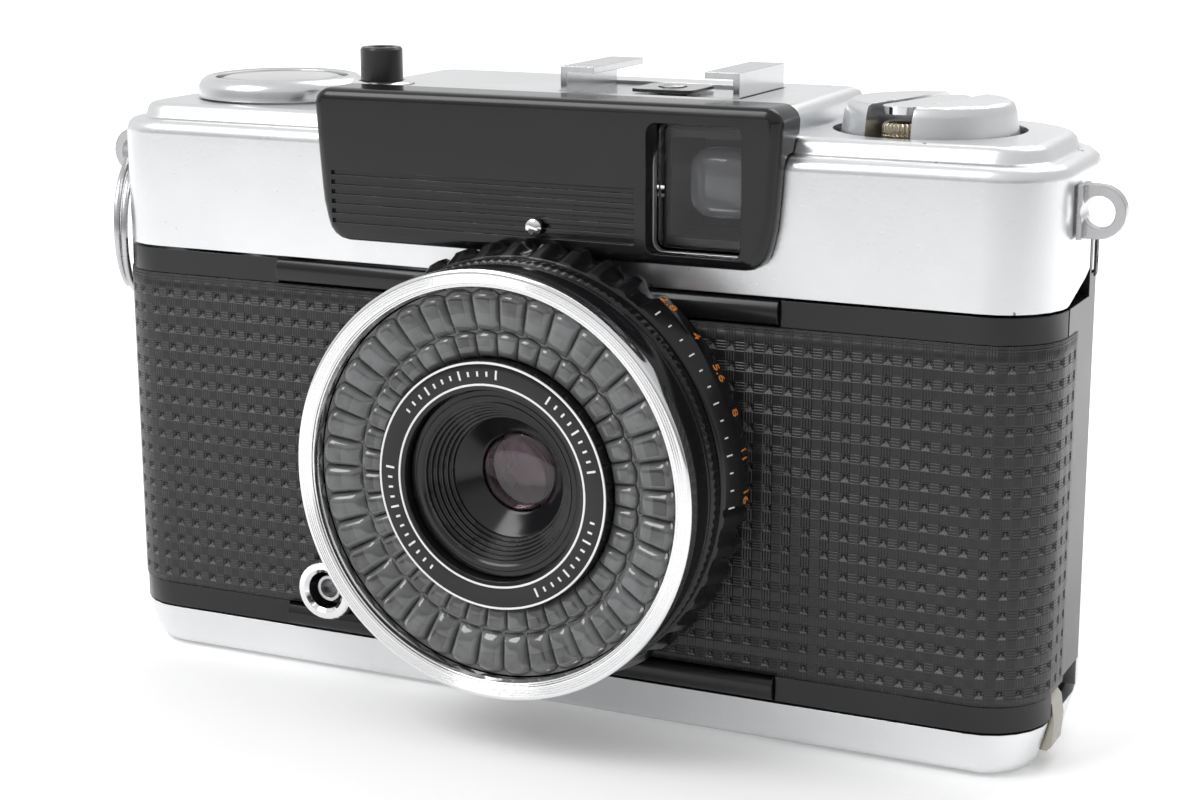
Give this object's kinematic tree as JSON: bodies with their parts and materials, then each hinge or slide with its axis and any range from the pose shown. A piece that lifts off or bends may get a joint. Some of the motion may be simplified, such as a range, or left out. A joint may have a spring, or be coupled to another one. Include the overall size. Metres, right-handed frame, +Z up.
{
  "type": "half frame camera",
  "caption": "Compact half frame film camera with a light cell around its lens, folding rewind crank, accessory shoe and hinged back.",
  "frame": {"origin": "centre of the base plate's flat underside", "axes": "+X to the right of someone facing the lens, the lens looks along -Y, +Z up"},
  "size_m": [0.1194, 0.046, 0.0703],
  "materials": {
    "satin_chrome": "satin plated brass",
    "bright_chrome": "bright plated",
    "black_paint": "satin black",
    "casting_paint": "semi-gloss black on a light alloy casting",
    "leatherette": "embossed black leatherette",
    "black_plastic": "moulded black",
    "brass": "knurled or turned",
    "steel": "plain",
    "optical_glass": "coated",
    "clear_plastic": "clear moulded",
    "selenium": "selenium coated plate",
    "white_enamel": "white enamel"
  },
  "bodies": {
    "chassis": {"top_cover": "satin_chrome", "base_plate": "satin_chrome", "index_stud": "bright_chrome", "button_collar": "bright_chrome", "counter_bezel": "bright_chrome", "accessory_shoe": "bright_chrome", "chrome_bezel": "bright_chrome", "sync_socket": "bright_chrome", "strap_lug_left": "bright_chrome", "strap_lug_right": "bright_chrome", "name_plate": "black_paint", "film_gate": "black_paint", "lens_barrel": "black_paint", "lens_cell": "black_paint", "name_ring": "black_paint", "shutter_plate": "black_paint", "body_casting": "casting_paint", "front_plate": "casting_paint", "latch_cover": "casting_paint", "leatherette_front": "leatherette", "viewfinder_tube": "black_plastic", "shoe_insulator": "black_plastic", "tripod_bush": "brass", "shoe_contact": "brass", "sync_contact": "brass", "hinge_pin": "steel", "galvanometer": "steel", "viewfinder_window": "optical_glass", "viewfinder_objective": "optical_glass", "viewfinder_eye_lens": "optical_glass", "front_element": "optical_glass", "middle_element": "optical_glass", "rear_element": "optical_glass", "counter_window": "clear_plastic", "cell_lens": "clear_plastic", "selenium_cell": "selenium"},
    "wind_drive": {"thumb_wheel": "black_plastic", "take_up_spool": "black_plastic"},
    "film_sprocket": {"film_sprocket": "steel"},
    "counter_dial": {"counter_dial": "white_enamel"},
    "shutter_button": {"shutter_button": "black_plastic"},
    "rewind_sleeve": {"rewind_sleeve": "steel"},
    "rewind_knob": {"rewind_knob": "satin_chrome", "rewind_shaft": "steel"},
    "crank_lever": {"crank_lever": "bright_chrome"},
    "crank_handle": {"crank_handle": "brass"},
    "back_door": {"back_door": "satin_chrome", "leatherette_back": "leatherette", "pressure_spring": "steel"},
    "pressure_plate": {"pressure_plate": "black_paint"},
    "latch_bar": {"latch_bar": "bright_chrome"},
    "rewind_release_button": {"rewind_release_button": "bright_chrome"},
    "speed_ring": {"speed_ring": "black_paint"},
    "aperture_ring": {"aperture_ring": "black_paint"},
    "aperture_blade_a": {"aperture_blade_a": "steel"},
    "aperture_blade_b": {"aperture_blade_b": "steel"},
    "shutter_blade_a": {"shutter_blade_a": "steel"},
    "shutter_blade_b": {"shutter_blade_b": "steel"},
    "meter_needle": {"meter_needle": "steel"},
    "split_ring": {"split_ring": "bright_chrome"}
  },
  "joints": [
    {"name": "thumb_wheel_turn", "type": "hinge", "parent": "chassis", "child": "wind_drive", "pos_m": [-0.0399, 0.0022, 0.056], "axis": [0, 0, 1], "continuous": true},
    {"name": "sprocket_turn", "type": "hinge", "parent": "chassis", "child": "film_sprocket", "pos_m": [-0.0209, 0.00325, 0.0113], "axis": [0, 0, 1], "continuous": true},
    {"name": "counter_turn", "type": "hinge", "parent": "chassis", "child": "counter_dial", "pos_m": [-0.0403, -0.0001, 0.0634], "axis": [0, 0, 1], "continuous": true},
    {"name": "shutter_press", "type": "slide", "parent": "chassis", "child": "shutter_button", "axis": [0, 0, -1], "range_m": [0, 0.0015], "stiffness_N_per_m": 300},
    {"name": "rewind_turn", "type": "hinge", "parent": "chassis", "child": "rewind_sleeve", "pos_m": [0.0376, -0.0004, 0.0553], "axis": [0, 0, 1], "continuous": true},
    {"name": "rewind_lift", "type": "slide", "parent": "rewind_sleeve", "child": "rewind_knob", "axis": [0, 0, 1], "range_m": [0, 0.008]},
    {"name": "crank_fold", "type": "hinge", "parent": "rewind_knob", "child": "crank_lever", "pos_m": [0.03864, 0.00449, 0.06585], "axis": [-0.9781, 0.2079, 0], "range_deg": [0, 150]},
    {"name": "crank_handle_turn", "type": "hinge", "parent": "crank_lever", "child": "crank_handle", "pos_m": [0.03644, -0.00588, 0.0623], "axis": [0, 0, 1], "continuous": true},
    {"name": "door_open", "type": "hinge", "parent": "chassis", "child": "back_door", "pos_m": [-0.0522, 0.0075, 0.0293], "axis": [0, 0, 1], "range_deg": [0, 110]},
    {"name": "pressure_plate_give", "type": "slide", "parent": "back_door", "child": "pressure_plate", "axis": [0, 1, 0], "range_m": [0, 0.0003], "stiffness_N_per_m": 800},
    {"name": "latch_pull", "type": "slide", "parent": "chassis", "child": "latch_bar", "axis": [0, 0, -1], "range_m": [0, 0.0013], "stiffness_N_per_m": 250},
    {"name": "rewind_release_press", "type": "slide", "parent": "chassis", "child": "rewind_release_button", "axis": [0, 0, 1], "range_m": [0, 0.0015], "stiffness_N_per_m": 300},
    {"name": "speed_ring_turn", "type": "hinge", "parent": "chassis", "child": "speed_ring", "pos_m": [0.002, -0.023, 0.0288], "axis": [0, 1, 0], "range_deg": [0, 100]},
    {"name": "aperture_ring_turn", "type": "hinge", "parent": "chassis", "child": "aperture_ring", "pos_m": [0.002, -0.018, 0.0288], "axis": [0, 1, 0], "range_deg": [0, 120]},
    {"name": "aperture_blade_a_turn", "type": "hinge", "parent": "chassis", "child": "aperture_blade_a", "pos_m": [-0.0046, -0.0111, 0.0182], "axis": [0, 1, 0], "range_deg": [0, 15]},
    {"name": "aperture_blade_b_turn", "type": "hinge", "parent": "chassis", "child": "aperture_blade_b", "pos_m": [0.0086, -0.0117, 0.0182], "axis": [0, 1, 0], "range_deg": [-15, 0]},
    {"name": "shutter_blade_a_turn", "type": "hinge", "parent": "chassis", "child": "shutter_blade_a", "pos_m": [-0.0003, -0.0099, 0.0408], "axis": [0, 1, 0], "range_deg": [0, 27], "stiffness_Nm_per_rad": 0.0005},
    {"name": "shutter_blade_b_turn", "type": "hinge", "parent": "chassis", "child": "shutter_blade_b", "pos_m": [0.0043, -0.0105, 0.0408], "axis": [0, 1, 0], "range_deg": [-27, 0]},
    {"name": "meter_needle_turn", "type": "hinge", "parent": "chassis", "child": "meter_needle", "pos_m": [-0.008, -0.003, 0.0574], "axis": [0, 0, 1], "range_deg": [0, 45], "stiffness_Nm_per_rad": 0.00002},
    {"name": "split_ring_swing", "type": "hinge", "parent": "chassis", "child": "split_ring", "pos_m": [-0.05675, -0.0062, 0.0569], "axis": [0, 1, 0], "range_deg": [0, 100]}
  ],
  "couplings": [
    {"joint": "sprocket_turn", "follows": "thumb_wheel_turn", "ratio": 0.9},
    {"joint": "counter_turn", "follows": "thumb_wheel_turn", "ratio": 0.025},
    {"joint": "aperture_blade_a_turn", "follows": "aperture_ring_turn", "ratio": 0.125},
    {"joint": "aperture_blade_b_turn", "follows": "aperture_ring_turn", "ratio": -0.125},
    {"joint": "shutter_blade_b_turn", "follows": "shutter_blade_a_turn", "ratio": -1}
  ]
}
